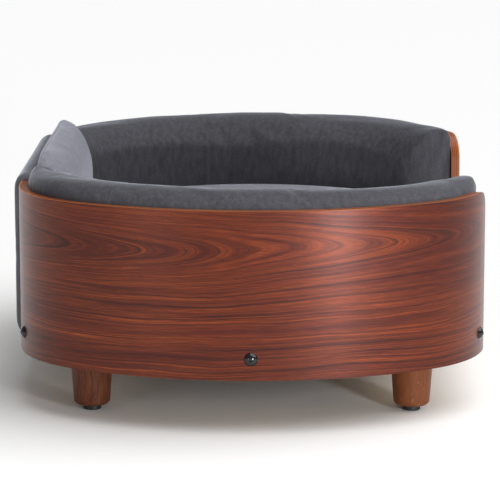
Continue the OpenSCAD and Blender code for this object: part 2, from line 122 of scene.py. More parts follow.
# Walnut veneer under satin lacquer: long growth rings in flat cathedral peaks, dark late
# wood lines against warm brown, short pores along the grain, and lighter sawn plies.
def walnut_veneer():
    RING = 8.0 * MM             # spacing of the rings well away from the heart line
    HEART_Z = RIM_Z - 47 * MM   # height of the heart line of the veneer leaf
    HEART_DEPTH = 24 * MM       # how far behind the leaf the heart of the tree lay
    TAPER = 0.10                # how fast the trunk narrows: it draws the peaks
    LAYER = PLY / 9             # nine plies
    look, tree, shader = material("walnut_veneer_satin_lacquer", Roughness=0.34,
                                  Coat_Weight=0.5, Coat_Roughness=0.3, Coat_IOR=1.4, IOR=1.25)
    place = node(tree, "TexCoord").outputs["Object"]
    across, along, height = node(tree, "SeparateXYZ", [place]).outputs
    x = node(tree, "Math", [across], operation="ABSOLUTE")
    y = node(tree, "Math", [along], operation="ABSOLUTE")

    # the bend that a point belongs to: its centre, and its depth below the outer face
    off_mid = node(tree, "Math", [x, MID_X], operation="SUBTRACT")
    turn = node(tree, "Math", [node(tree, "Math", [y, math.cos(BEND)], operation="MULTIPLY"),
                               node(tree, "Math", [off_mid, math.sin(BEND)], operation="MULTIPLY")],
                operation="SUBTRACT")
    in_corner = node(tree, "Math", [turn, 0.0], operation="GREATER_THAN")
    held_x = node(tree, "Math", [x, END_X], operation="MINIMUM")
    shift = node(tree, "Math", [held_x, MID_X], operation="SUBTRACT")
    centre_x = node(tree, "Math", [in_corner, shift, MID_X], operation="MULTIPLY_ADD")
    centre_y = node(tree, "Math", [in_corner, CORNER_Y], operation="MULTIPLY")
    outward = node(tree, "CombineXYZ", [node(tree, "Math", [x, centre_x], operation="SUBTRACT"),
                                        node(tree, "Math", [y, centre_y], operation="SUBTRACT")])
    radius = node(tree, "VectorMath", [outward], operation="LENGTH").outputs["Value"]
    bend_radius = node(tree, "Math", [in_corner, CORNER_RADIUS - MID_RADIUS, MID_RADIUS],
                       operation="MULTIPLY_ADD")
    depth = node(tree, "Math", [bend_radius, radius], operation="SUBTRACT")
    unit = node(tree, "VectorMath", [outward], operation="NORMALIZE")
    normal = node(tree, "VectorMath", [node(tree, "NewGeometry").outputs["True Normal"]],
                  operation="ABSOLUTE")
    faces_out = node(tree, "VectorMath", [unit, normal], operation="DOT_PRODUCT").outputs["Value"]
    sawn = node(tree, "MapRange", [faces_out, 0.8, 0.6, 0.0, 1.0])

    # length along the bend, measured round a point that is near every bend's centre;
    # it grows towards the front of the bed
    round_x = node(tree, "Math", [x, END_X - 120 * MM], operation="SUBTRACT")
    angle = node(tree, "Math", [along, round_x], operation="ARCTAN2")
    length = node(tree, "Math", [angle, -325 * MM], operation="MULTIPLY")
    side = node(tree, "Math", [across], operation="SIGN")
    flat = node(tree, "CombineXYZ", [length, side, height])

    def noise_on(at, per_metre, detail=2.0, roughness=0.5):
        """Noise stretched along the grain. The middle number sets the two shells apart."""
        scaled = node(tree, "VectorMath", [at, per_metre], operation="MULTIPLY")
        return node(tree, "TexNoise", {"Vector": scaled, "Scale": 1.0, "Detail": detail,
                                       "Roughness": roughness}).outputs["Fac"]

    # distance from the heart line, which wanders over 310 mm and ripples over 70 mm
    drift = node(tree, "Math", [noise_on(flat, (1 / (312.5 * MM), 7.0, 1 / (111 * MM))),
                                26 * MM, -13 * MM], operation="MULTIPLY_ADD")
    ripple = node(tree, "Math", [noise_on(flat, (1 / (71.4 * MM), 5.0, 1 / (14.3 * MM))),
                                 2.4 * MM, -1.2 * MM], operation="MULTIPLY_ADD")
    off_heart = node(tree, "Math", [node(tree, "Math", [height, HEART_Z], operation="SUBTRACT"),
                                    node(tree, "Math", [drift, ripple], operation="ADD")],
                     operation="ADD")
    slant = node(tree, "Math", [length, -0.014, off_heart], operation="MULTIPLY_ADD")
    # rings of the tree cut lengthwise: arches near the heart line, near-straight lines away from it
    square = node(tree, "Math", [slant, slant, HEART_DEPTH ** 2], operation="MULTIPLY_ADD")
    from_pith = node(tree, "Math", [square], operation="SQRT")
    falling = node(tree, "Math", [square, -1 / (54 * MM) ** 2], operation="MULTIPLY")
    fade = node(tree, "Math", [falling], operation="EXPONENT")
    reach = node(tree, "Math", [length], operation="ABSOLUTE")
    pull = node(tree, "Math", [reach, -0.25, length], operation="MULTIPLY_ADD")
    taper = node(tree, "Math", [node(tree, "Math", [pull, TAPER], operation="MULTIPLY"), fade],
                 operation="MULTIPLY")
    rings = node(tree, "Math", [from_pith, taper], operation="ADD")
    ring = node(tree, "Math", [rings, 1 / RING, 20.0], operation="MULTIPLY_ADD")
    uneven = node(tree, "TexNoise", {"W": ring, "Scale": 0.6, "Detail": 2.0},
                  noise_dimensions="1D").outputs["Fac"]
    ring = node(tree, "Math", [uneven, 2.0, ring], operation="MULTIPLY_ADD")

    # each ring darkens slowly to a sharp line of late wood
    part = node(tree, "Math", [ring], operation="FRACT")
    slow = node(tree, "Math", [part, 2.0], operation="POWER")
    steep = node(tree, "Math", [part, 13.0], operation="POWER")
    late = node(tree, "Math", [slow, 0.25, node(tree, "Math", [steep, 0.75], operation="MULTIPLY")],
                operation="MULTIPLY_ADD")
    sharp = node(tree, "MapRange", [part, 0.0, 0.07, 1.0, 0.0])
    line = node(tree, "Math", [late, sharp], operation="MAXIMUM")
    # a year's line comes and goes over 330 mm
    year = node(tree, "CombineXYZ", [node(tree, "Math", [length, 1 / (333 * MM)],
                                          operation="MULTIPLY"),
                                     node(tree, "Math", [ring], operation="FLOOR"), side])
    strength = noise_on(year, (1.0, 3.7, 5.0), 1.0)
    line = node(tree, "Math", [line, node(tree, "MapRange", [strength, 0.35, 0.6, 0.4, 1.0])],
                operation="MULTIPLY")
    # finer lines between them, four to a ring, and bands of three years, darker or redder
    weave = node(tree, "CombineXYZ", [length, side, ring])
    fine = noise_on(weave, (1 / (250 * MM), 7.0, 4.4), 4.0, 0.7)
    band = noise_on(weave, (1 / (625 * MM), 7.0, 0.33), 1.0)
    # pores are 0.2 mm wide; they are drawn about 0.9 mm apart so that they show
    pore = noise_on(flat, (1 / (23.8 * MM), 9.0, 1 / (0.87 * MM)), 3.0, 0.7)

    body = node(tree, "ValToRGB", [fine], [(0.3, "3e1107"), (0.44, "5a200b"), (0.57, "7c3413"),
                                           (0.71, "a6501e")])
    reddened = node(tree, "MapRange", [band, 0.36, 0.6, 0.6, 0.0])
    body = node(tree, "Mix", {0: reddened, 6: body, 7: linear("451009")},
                data_type="RGBA").outputs[2]
    body = node(tree, "Mix", {0: node(tree, "Math", [line, 0.92], operation="MULTIPLY"),
                              6: body, 7: linear("220806")}, data_type="RGBA").outputs[2]
    pores = node(tree, "MapRange", [pore, 0.36, 0.64, 0.66, 1.16])
    body = node(tree, "Mix", {0: 1.0, 6: body, 7: pores}, data_type="RGBA",
                blend_type="MULTIPLY").outputs[2]

    # sawn edges: alternating plies of long grain and end grain under clear lacquer
    pairs = node(tree, "Math", [depth, 2 * LAYER], operation="DIVIDE")
    ply = node(tree, "Math", [pairs], operation="FRACT")
    ply_tone = node(tree, "ValToRGB", [ply], [(0.0, "a25a2b"), (0.44, "965026"), (0.52, "6b3217"),
                                              (0.94, "783a1a"), (1.0, "a25a2b")])
    grain = noise_on(place, (1 / (4.55 * MM),) * 3)
    mottle = node(tree, "Math", [grain, 0.6, 0.7], operation="MULTIPLY_ADD")
    edge_tone = node(tree, "Mix", {0: 1.0, 6: ply_tone, 7: mottle}, data_type="RGBA",
                     blend_type="MULTIPLY").outputs[2]
    # painted highlight: a paler orange line along the rounded edge stands in for the light that the
    # lacquered edge catches
    rim = node(tree, "MapRange", [depth, 0.6 * MM, 2.2 * MM, 0.75, 0.0])
    edge_tone = node(tree, "Mix", {0: rim, 6: edge_tone, 7: linear("e08a3c")},
                     data_type="RGBA").outputs[2]
    colour = node(tree, "Mix", {0: sawn, 6: body, 7: edge_tone}, data_type="RGBA").outputs[2]
    tree.links.new(colour, shader.inputs["Base Color"])

    # walnut fibres shine like satin in the colour of the wood, and sawn edges don't
    satin = node(tree, "Math", [sawn, -0.45, 0.45], operation="MULTIPLY_ADD")
    tree.links.new(satin.outputs[0], shader.inputs["Metallic"])
    rough = node(tree, "Math", [pore, 0.2, 0.3], operation="MULTIPLY_ADD")
    tree.links.new(rough.outputs[0], shader.inputs["Roughness"])
    relief = node(tree, "Math", [line, -0.5, pore], operation="MULTIPLY_ADD")
    bump = node(tree, "Bump", {"Height": relief, "Strength": 0.12, "Distance": 0.3 * MM})
    tree.links.new(bump.outputs[0], shader.inputs["Normal"])
    return look


WALNUT = walnut_veneer()
for name in ("end_shell_left", "end_shell_right"):
    dress(nodes[name], WALNUT)
    ease_edges(nodes[name], 1.6 * MM)

# ---------------------------------------------------------------- deck, battens and blocks
# A birch plywood deck carries the bed. Two softwood battens and six edge blocks are glued
# and screwed under it, all left bare because the underside is out of sight.
def bare_wood(name, light, dark, grain_axis, spacing, plies=0.0):
    """Planed wood: faint growth lines a few millimetres apart along grain_axis."""
    look, tree, shader = material(name, Roughness=0.62, IOR=1.5)
    place = node(tree, "TexCoord").outputs["Object"]
    stretch = [1 / spacing] * 3
    stretch[grain_axis] = 0.04 / spacing
    at = node(tree, "VectorMath", [place, stretch], operation="MULTIPLY")
    lines = node(tree, "TexNoise", {"Vector": at, "Scale": 1.0, "Detail": 4.0,
                                    "Roughness": 0.6}).outputs["Fac"]
    colour = node(tree, "ValToRGB", [lines], [(0.3, dark), (0.62, light)]).outputs[0]
    if plies:
        # the deck's edge shows its layers
        z = node(tree, "SeparateXYZ", [place]).outputs[2]
        layers = node(tree, "Math", [z, plies], operation="DIVIDE")
        layer = node(tree, "Math", [layers], operation="FRACT")
        facing = node(tree, "SeparateXYZ", [node(tree, "NewGeometry").outputs["True Normal"]])
        level = node(tree, "Math", [facing.outputs[2]], operation="ABSOLUTE")
        upright = node(tree, "Math", [1.0, level], operation="SUBTRACT")
        dark_ply = node(tree, "Math", [layer, 0.5], operation="GREATER_THAN")
        band = node(tree, "Math", [dark_ply, upright], operation="MULTIPLY")
        colour = node(tree, "Mix", {0: node(tree, "Math", [band, 0.6], operation="MULTIPLY"),
                                    6: colour, 7: linear(dark)}, data_type="RGBA").outputs[2]
    tree.links.new(colour, shader.inputs["Base Color"])
    bump = node(tree, "Bump", {"Height": lines, "Strength": 0.25, "Distance": 0.4 * MM})
    tree.links.new(bump.outputs[0], shader.inputs["Normal"])
    return look


# Birch is pale and even, pine is yellower with wider rings, and hardboard is pressed brown
# fibre with almost no lines.
BIRCH_PLY = bare_wood("birch_plywood_bare", "d9bc8c", "b8935f", 0, 5 * MM, plies=3 * MM)
PINE = bare_wood("pine_planed", "dcb987", "b98b55", 0, 6 * MM)
HARDBOARD = bare_wood("hardboard_brown", "7d5a3c", "5f4229", 2, 2 * MM)
for name in ("base_deck", "back_panel_board", "front_rail_board"):
    dress(nodes[name], BIRCH_PLY)
    ease_edges(nodes[name], 0.6 * MM, 2)
for name in ("front_batten", "back_batten", "edge_blocks_left", "edge_blocks_right"):
    dress(nodes[name], PINE)
    ease_edges(nodes[name], 1.0 * MM, 2)
for name in ("bolster_liner_left", "bolster_liner_right"):
    dress(nodes[name], HARDBOARD)

# ---------------------------------------------------------------- metal fittings
# Zinc-plated screws, threaded inserts, leg plates, joining plates and hanger bolts hold
# the frame together. The shell bolts have black oxide domed heads with a hex socket.
def plated_metal(name, tone, roughness):
    """Bright plated steel, a little uneven where it was handled."""
    look, tree, shader = material(name, Metallic=1.0, Roughness=roughness)
    place = node(tree, "TexCoord").outputs["Object"]
    blotch = node(tree, "TexNoise", {"Vector": place, "Scale": 1 / (3.85 * MM),
                                     "Detail": 3.0}).outputs["Fac"]
    tint = node(tree, "ValToRGB", [blotch], [(0.35, tone), (0.7, "8f9094")])
    tree.links.new(tint.outputs[0], shader.inputs["Base Color"])
    dulled = node(tree, "Math", [blotch, 0.25, roughness - 0.1], operation="MULTIPLY_ADD")
    tree.links.new(dulled.outputs[0], shader.inputs["Roughness"])
    return look


ZINC = plated_metal("zinc_plated_steel", "b9babd", 0.34)
for name in ("threaded_inserts", "deck_screws", "panel_screws", "joining_plates", "joining_screws",
             "leg_plates", "leg_plate_screws", "leg_hanger_bolts"):
    dress(nodes[name], ZINC)

# Black oxide under oil: near black, glossy on the dome, with faint turning marks. The marks
# are 0.1 mm apart; they are drawn 1.1 mm apart so that they show.
BLACK_OXIDE, tree, shader = material("black_oxide_steel", Roughness=0.2, Metallic=0.55,
                                     Coat_Weight=0.6, Coat_Roughness=0.08)
marks = node(tree, "TexNoise", {"Vector": node(tree, "TexCoord").outputs["Object"],
                                "Scale": 1 / (1.11 * MM), "Detail": 2.0}).outputs["Fac"]
oxide = node(tree, "ValToRGB", [marks], [(0.3, "08080a"), (0.75, "1b1b1f")])
tree.links.new(oxide.outputs[0], shader.inputs["Base Color"])
oiled = node(tree, "Math", [marks, 0.15, 0.06], operation="MULTIPLY_ADD")
tree.links.new(oiled.outputs[0], shader.inputs["Roughness"])
for name in ("shell_bolts_left", "shell_bolts_right"):
    dress(nodes[name], BLACK_OXIDE)
    ease_edges(nodes[name], 0.4 * MM, 2, angle=40)

# ---------------------------------------------------------------- legs and glides
# Short turned hardwood legs, stained dark brown and lacquered, stand on black plastic
# glides that are nailed in. The stain is worn through in a few chips near the foot.
leg_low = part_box("leg_front_left")[0]


def stained_leg():
    """Turned hardwood under dark stain: fine upright grain, 2.4 mm wide and 45 mm long."""
    look, tree, shader = material("hardwood_dark_stain", Roughness=0.45, IOR=1.3)
    place = node(tree, "TexCoord").outputs["Object"]
    fibres = (1 / (2.38 * MM), 1 / (2.38 * MM), 1 / (45.5 * MM))
    at = node(tree, "VectorMath", [place, fibres], operation="MULTIPLY")
    grain = node(tree, "TexNoise", {"Vector": at, "Scale": 1.0, "Detail": 5.0,
                                    "Roughness": 0.62}).outputs["Fac"]
    tone = node(tree, "ValToRGB", [grain], [(0.28, "3a1c0f"), (0.5, "5a301c"), (0.72, "733f25")])
    # painted light: the front legs, on the side the light comes from, are drawn lighter than the
    # back ones
    along, z = node(tree, "SeparateXYZ", [place]).outputs[1:]
    forward = node(tree, "Math", [0.0, along], operation="GREATER_THAN")
    tone = node(tree, "Mix", {0: node(tree, "Math", [forward, 0.5], operation="MULTIPLY"), 6: tone,
                              7: linear("7c4521")}, data_type="RGBA").outputs[2]
    # chips up to 8 mm across, more of them near the foot
    chip_noise = node(tree, "TexNoise", {"Vector": place, "Scale": 1 / (7.7 * MM), "Detail": 5.0,
                                         "Roughness": 0.7}).outputs["Fac"]
    low_down = node(tree, "MapRange", [z, leg_low.z, leg_low.z + 30 * MM, 0.05, -0.02])
    likely = node(tree, "Math", [chip_noise, low_down], operation="ADD")
    chip = node(tree, "MapRange", [likely, 0.675, 0.7, 0.0, 1.0])
    tone = node(tree, "Mix", {0: chip, 6: tone, 7: linear("a07a52")}, data_type="RGBA").outputs[2]
    tree.links.new(tone, shader.inputs["Base Color"])
    relief = node(tree, "Math", [grain, chip], operation="SUBTRACT")
    bump = node(tree, "Bump", {"Height": relief, "Strength": 0.3, "Distance": 0.4 * MM})
    tree.links.new(bump.outputs[0], shader.inputs["Normal"])
    return look


LEG_WOOD = stained_leg()
for name in ("leg_front_left", "leg_front_right", "leg_back_left", "leg_back_right"):
    dress(nodes[name], LEG_WOOD)
    ease_edges(nodes[name], 1.6 * MM, 3, angle=30)

# Moulded polyethylene: black, with a dull and slightly grainy skin.
GLIDE, tree, shader = material("polyethylene_black_moulded", Roughness=0.5)
grit = node(tree, "TexNoise", {"Vector": node(tree, "TexCoord").outputs["Object"],
                               "Scale": 1 / (0.714 * MM), "Detail": 2.0}).outputs["Fac"]
skin = node(tree, "ValToRGB", [grit], [(0.3, "0c0c0d"), (0.8, "232326")])
tree.links.new(skin.outputs[0], shader.inputs["Base Color"])
bump = node(tree, "Bump", {"Height": grit, "Strength": 0.2, "Distance": 0.2 * MM})
tree.links.new(bump.outputs[0], shader.inputs["Normal"])
dress(nodes["leg_glides"], GLIDE)

# ---------------------------------------------------------------- dust cover
# A thin black cloth keeps dust and feet off the deck's underside. It is cut from a roll
# and stapled flat between the battens.

# Spun-bonded polypropylene: matt black, a web of fibres with a grid of small welded dots.
# The fibres are 0.02 mm thick; they are drawn in 1.4 mm tufts so that they show.
DUST_CLOTH, tree, shader = material("spunbond_black", Roughness=0.9)
web_at = node(tree, "TexCoord").outputs["Object"]
web = node(tree, "TexNoise", {"Vector": web_at, "Scale": 1 / (1.43 * MM), "Detail": 4.0,
                              "Roughness": 0.8}).outputs["Fac"]
dots = node(tree, "TexVoronoi", {"Vector": web_at, "Scale": 1 / (2.38 * MM)}).outputs["Distance"]
fibre = node(tree, "ValToRGB", [web], [(0.3, "0d0d0e"), (0.75, "2c2c30")])
tree.links.new(fibre.outputs[0], shader.inputs["Base Color"])
bump = node(tree, "Bump", {"Height": dots, "Strength": 0.5, "Distance": 0.3 * MM})
tree.links.new(bump.outputs[0], shader.inputs["Normal"])
dress(nodes["dust_cover"], DUST_CLOTH)

# ---------------------------------------------------------------- upholstered back panel
# A board wrapped in thin foam and grey velvet closes the back between the shells. The
# cover is pulled round the edges, so its outer face swells and its corners are soft.

# Short-pile grey velvet: matte and dark face-on, pale where the pile is seen from its
# side, with soft clouds, 7 mm across and 22 mm high, where it was brushed another way.
def velvet(name, deep, mid, pale):
    look, tree, shader = material(name, Roughness=0.88, IOR=1.35, Sheen_Weight=0.95,
                                  Sheen_Roughness=0.3, Specular_IOR_Level=0.15)
    shader.inputs["Sheen Tint"].default_value = linear("d3d6e2")
    place = node(tree, "TexCoord").outputs["Object"]
    clouds = (1 / (6.67 * MM), 1 / (6.67 * MM), 1 / (22.2 * MM))
    combed = node(tree, "VectorMath", [place, clouds], operation="MULTIPLY")
    cloud = node(tree, "TexNoise", {"Vector": combed, "Scale": 1.0, "Detail": 4.0,
                                    "Roughness": 0.66}).outputs["Fac"]
    # the pile is 0.4 mm; it is drawn at about 1.2 mm so that it shows
    pile = node(tree, "TexNoise", {"Vector": place, "Scale": 1 / (1.22 * MM), "Detail": 3.0,
                                   "Roughness": 0.75}).outputs["Fac"]
    brushed = node(tree, "Math", [pile, 0.6, node(tree, "Math", [cloud, 0.4],
                                                  operation="MULTIPLY")],
                   operation="MULTIPLY_ADD")
    tone = node(tree, "ValToRGB", [brushed], [(0.37, deep), (0.5, mid), (0.62, pale)])
    tree.links.new(tone.outputs[0], shader.inputs["Base Color"])
    nap = node(tree, "Math", [pile, node(tree, "Math", [cloud, 0.8], operation="MULTIPLY")],
               operation="ADD")
    bump = node(tree, "Bump", {"Height": nap, "Strength": 0.22, "Distance": 0.7 * MM})
    tree.links.new(bump.outputs[0], shader.inputs["Normal"])
    return look


VELVET = velvet("velvet_grey_short_pile", "3c3c40", "47474c", "545459")
# a paler copy of the same cloth, with painted light in its colour: it stands in for the light that
# falls on the pillow's front
PAINTED_LIGHT_VELVET = velvet("velvet_grey_painted_light", "676770", "7a7a83", "8c8c96")
# a middle copy of the same cloth, with painted light in its colour: it stands in for the brighter
# sheen of the seat and back panel seen at a grazing angle
PAINTED_HALF_LIGHT_VELVET = velvet("velvet_grey_painted_half_light", "54545a", "636369", "717178")


def new_piece(name, vertices, faces):
    """A mesh object from points in metres, with its normals outward and smooth."""
    mesh = bpy.data.meshes.new(name)
    mesh.from_pydata([tuple(v) for v in vertices], [], faces)
    shape = bmesh.new()
    shape.from_mesh(mesh)
    bmesh.ops.remove_doubles(shape, verts=shape.verts, dist=1e-6)
    bmesh.ops.recalc_face_normals(shape, faces=shape.faces)
    shape.to_mesh(mesh)
    shape.free()
    mesh.polygons.foreach_set("use_smooth", [True] * len(mesh.polygons))
    piece = bpy.data.objects.new(name, mesh)
    bpy.context.scene.collection.objects.link(piece)
    return piece


def loft(name, rings):
    """Closes a row of equal rings of points into one skin with a cap at each end."""
    count = len(rings[0])
    vertices = [p for ring in rings for p in ring]
    faces = []
    for i in range(len(rings) - 1):
        for j in range(count):
            k = (j + 1) % count
            faces.append((i * count + j, i * count + k, (i + 1) * count + k, (i + 1) * count + j))
    faces.append(tuple(range(count))[::-1])
    faces.append(tuple((len(rings) - 1) * count + j for j in range(count)))
    return new_piece(name, vertices, faces)


def corner(cx, cz, rx, rz, start, steps=8):
    """Points on a quarter of an ellipse, from start degrees, going anticlockwise."""
    angles = [math.radians(start + 90 * i / steps) for i in range(steps + 1)]
    return [(cx + rx * math.cos(a), cz + rz * math.sin(a)) for a in angles]


def section(left, right, low, high, top_left, top_right, bottom):
    """A closed outline with a different elliptical radius pair at each top corner."""
    outline = corner(right - top_right[0], high - top_right[1], *top_right, 0)
    outline += corner(left + top_left[0], high - top_left[1], *top_left, 90)
    outline += corner(left + bottom, low + bottom, bottom, bottom, 180, 4)
    outline += corner(right - bottom, low + bottom, bottom, bottom, 270, 4)
    return outline


def evaluated(piece):
    """A new mesh of the piece with its modifiers."""
    bpy.context.view_layer.update()
    return bpy.data.meshes.new_from_object(
        piece.evaluated_get(bpy.context.evaluated_depsgraph_get()))


def take_mesh(piece):
    """Applies every modifier of the piece."""
    mesh = evaluated(piece)
    piece.modifiers.clear()
    piece.data = mesh


def points_of(mesh):
    found = np.zeros(len(mesh.vertices) * 3)
    mesh.vertices.foreach_get("co", found)
    return found.reshape(-1, 3)


def set_points(mesh, found):
    mesh.vertices.foreach_set("co", np.asarray(found, float).ravel())
    mesh.update()


PUFF_FRAMES = 18
CLOTH_STIFFNESS = 12.0


def puff(piece, voxel, pressure, cap, freedom=None):
    """Remeshes a closed skin and blows it up as cloth, moving no point further than cap.
    Freedom gives each rest point a share from 0 to 1 of that movement."""
    remesh = piece.modifiers.new("remesh", "REMESH")
    remesh.mode = "VOXEL"
    remesh.voxel_size = voxel
    take_mesh(piece)
    smooth = piece.modifiers.new("smooth", "SMOOTH")
    smooth.factor = 0.5
    smooth.iterations = 4
    take_mesh(piece)
    rest = points_of(piece.data)
    cloth = piece.modifiers.new("cloth", "CLOTH")
    made = cloth.settings
    made.quality = 4
    made.mass = 0.3
    made.tension_stiffness = made.compression_stiffness = CLOTH_STIFFNESS
    made.shear_stiffness = 4.0
    made.bending_stiffness = 0.6
    made.use_pressure = True
    made.uniform_pressure_force = pressure
    made.effector_weights.gravity = 0.0
    cloth.collision_settings.use_collision = False
    cloth.point_cache.frame_start = 1
    cloth.point_cache.frame_end = PUFF_FRAMES
    scene = bpy.context.scene
    for step in range(1, PUFF_FRAMES + 1):
        scene.frame_set(step)
    blown = points_of(evaluated(piece))
    piece.modifiers.clear()
    move = blown - rest
    size = np.linalg.norm(move, axis=1, keepdims=True)
    move *= np.minimum(1.0, cap / np.maximum(size, 1e-9))
    if freedom is not None:
        move *= freedom(rest)[:, None]
    set_points(piece.data, rest + move)
    scene.frame_set(1)
    smooth = piece.modifiers.new("smooth", "SMOOTH")
    smooth.factor = 0.5
    smooth.iterations = 2
    subdivide = piece.modifiers.new("subdivide", "SUBSURF")
    subdivide.levels = subdivide.render_levels = 1
    take_mesh(piece)
    piece.data.polygons.foreach_set("use_smooth", [True] * len(piece.data.polygons))
    return piece


def soft_slab(name, x_half, outline, end_radius):
    """A slab along x with the given (y, z) outline and rounded ends."""
    ys = [p[0] for p in outline]
    zs = [p[1] for p in outline]
    middle_y, middle_z = (min(ys) + max(ys)) / 2, (min(zs) + max(zs)) / 2
    half_y, half_z = (max(ys) - min(ys)) / 2, (max(zs) - min(zs)) / 2
    rings = []
    steps = 7
    turns = [math.pi / 2 * i / steps for i in range(steps, -1, -1)]
    stations = [(-x_half + end_radius * (1 - math.sin(t)), end_radius * (1 - math.cos(t)))
                for t in turns]
    stations += [(-x_half + end_radius + (2 * x_half - 2 * end_radius) * i / 24, 0.0)
                 for i in range(1, 24)]
    stations += [(-x, inset) for x, inset in reversed(stations[:steps + 1])]
    for x, inset in stations:
        shrink_y = (half_y - min(inset, 0.8 * half_y)) / half_y
        shrink_z = (half_z - inset) / half_z
        rings.append([(x, middle_y + (y - middle_y) * shrink_y,
                       middle_z + (z - middle_z) * shrink_z) for y, z in outline])
    return loft(name, rings)


pad_low, pad_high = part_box("back_panel_pad")
outline = section(pad_low.y - 2 * MM, pad_high.y + 1 * MM, pad_low.z - 3 * MM, pad_high.z + 5 * MM,
                  (8 * MM, 7 * MM), (12 * MM, 16 * MM), 8 * MM)
back_pad = soft_slab("back_panel_velvet", pad_high.x + 1 * MM, outline, 5 * MM)
puff(back_pad, 4.5 * MM, 2.2, 2 * MM,
     lambda p: np.clip((p[:, 1] - pad_low.y - 6 * MM) / (12 * MM), 0.0, 1.0))
# painted light: the back panel wears the middle, paler copy of the velvet
dress(back_pad, PAINTED_HALF_LIGHT_VELVET)
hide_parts("back_panel_pad")
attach(back_pad, "bed_frame")

# ---------------------------------------------------------------- front rail
# The low front rail is a board with foam and the same velvet pulled over it. The dog
# steps over it, so its top is a full round.
rail_low, rail_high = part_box("front_rail_pad")
outline = section(rail_low.y + 2 * MM, rail_high.y - 0.5 * MM, rail_low.z + 1 * MM,
                  rail_high.z - 1 * MM, (13 * MM, 14 * MM), (11 * MM, 12 * MM), 7 * MM)
front_pad = soft_slab("front_rail_velvet", rail_high.x - 0.5 * MM, outline, 5 * MM)
puff(front_pad, 4.5 * MM, 2.2, 2.5 * MM)
dress(front_pad, VELVET)
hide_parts("front_rail_pad")
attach(front_pad, "bed_frame")

# ---------------------------------------------------------------- bolsters
# A thick foam roll under velvet lines each shell. It is stapled to a bent hardboard
# liner, so it hugs the plywood, rolls over above the rim and drops to the deck inside.
bolster_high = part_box("bolster_right")[1]
inner_ply = PLY + 0.2 * MM  # the cover laps round the liner's edges onto the plywood
deck_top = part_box("base_deck")[1].z
HOLLOW_HALF = HALF_WIDTH - PLY - 46 * MM
HOLLOW_RADIUS = math.hypot(END_X, HOLLOW_HALF)
MID_LENGTH = MID_RADIUS * BEND
CORNER_LENGTH = CORNER_RADIUS * (math.pi / 2 - BEND)


def wall_point(run):
    """The outer face of the right-hand shell at a run along it from its middle, and its normal."""
    sign = 1 if run >= 0 else -1
    run = abs(run)
    if run <= MID_LENGTH:
        angle, centre, radius = run / MID_RADIUS, (MID_X, 0.0), MID_RADIUS
    else:
        beyond = min(run - MID_LENGTH, CORNER_LENGTH)
        tail = run - MID_LENGTH - beyond
        angle, radius = BEND + beyond / CORNER_RADIUS, CORNER_RADIUS
        centre = (END_X - tail, CORNER_Y)
    normal = (math.cos(angle), math.sin(angle))
    return ((centre[0] + radius * normal[0], sign * (centre[1] + radius * normal[1])),
            (normal[0], sign * normal[1]))


def room_inside(point, normal):
    """Distance inward along the normal to the edge of the space that the cushion fills."""
    along = point[0] * normal[0] + point[1] * normal[1]
    square = along ** 2 - (point[0] ** 2 + point[1] ** 2 - HOLLOW_RADIUS ** 2)
    to_circle = along - math.sqrt(max(square, 0.0))
    to_line = (abs(point[1]) - HOLLOW_HALF) / max(abs(normal[1]), 0.05)
    if to_line < -0.1:
        return to_circle
    # a soft maximum of the two, so that the roll has no crease where they meet
    per_metre = 250.0
    return math.log(math.exp(per_metre * to_circle) + math.exp(per_metre * to_line)) / per_metre


FRONT_SETBACK = 25 * MM     # how far beyond END_X the roll begins
BACK_TAIL = 30.5 * MM       # how far it runs on past the back corner
END_ROUND = 6 * MM          # rounding of its two ends
CREST_RISE = 3 * MM         # the voxel remesh takes this much off the crest again
BACK_RISE = 3.5 * MM        # the back half is a little fuller
OUTER_CURVE = 22 * MM       # height of the curve from the crest down to the plywood
INNER_CURVE = 46 * MM       # and down to the seat cushion
STATIONS = 150
# places along y and how far each roll's crest stands off the plain shape there, both in mm
LEFT_LIFT = (150, 200, 240, 262, 285), (0, 3.5, 5, 3, 0)
RIGHT_DROP = (-280, -215, -165, -90, 20, 120), (9.5, 5.5, 4, 4.5, 5.5, 9)


def bolster_rings():
    """The roll's sections from its front end to its back end, each square to the shell."""
    front_run = -(MID_LENGTH + CORNER_LENGTH
                  - CORNER_RADIUS * math.asin(FRONT_SETBACK / CORNER_RADIUS))
    back_run = MID_LENGTH + CORNER_LENGTH + BACK_TAIL
    rings = []
    for i in range(STATIONS + 1):
        # stations crowd together at both ends, where the roll is rounded off
        share = 0.5 - 0.5 * math.cos(math.pi * i / STATIONS)
        run = front_run + (back_run - front_run) * share
        reach = max(min(run - front_run, back_run - run), 0.0)
        inset = 0.0
        if reach < END_ROUND:
            inset = END_ROUND * (1 - math.sqrt(1 - (1 - reach / END_ROUND) ** 2))
        point, normal = wall_point(run)
        inner = room_inside(point, normal) - 1.5 * MM
        wide = inner - inner_ply
        # the crest stands near the plywood at the front end and leans inward at the middle
        ending = min((run - front_run) / (70 * MM), 1.0)
        outer_reach = 9 * MM + 0.88 * ending * max(wide - 44 * MM, 0.0)
        narrow = min(inset, 0.3 * wide)
        # the roll presses on the plywood, but leans off it by 3 mm at its back end
        lean = narrow * 0.2 - 1 * MM + 4 * MM * max(0.0, run / back_run) ** 3
        left, right = inner_ply + lean, inner - narrow
        outer_reach -= narrow * 0.2
        full = BACK_RISE * min(max((run - 60 * MM) / (120 * MM), 0.0), 1.0)
        high = bolster_high.z + CREST_RISE + full - inset
        low = deck_top + 1 * MM
        squash = 1 - 0.6 * inset / END_ROUND
        shape = section(left, right, low, high, (outer_reach, OUTER_CURVE * squash),
                        (right - left - outer_reach, INNER_CURVE * squash), 6 * MM)
        rings.append([(point[0] - t * normal[0], point[1] - t * normal[1], z) for t, z in shape])
    return rings


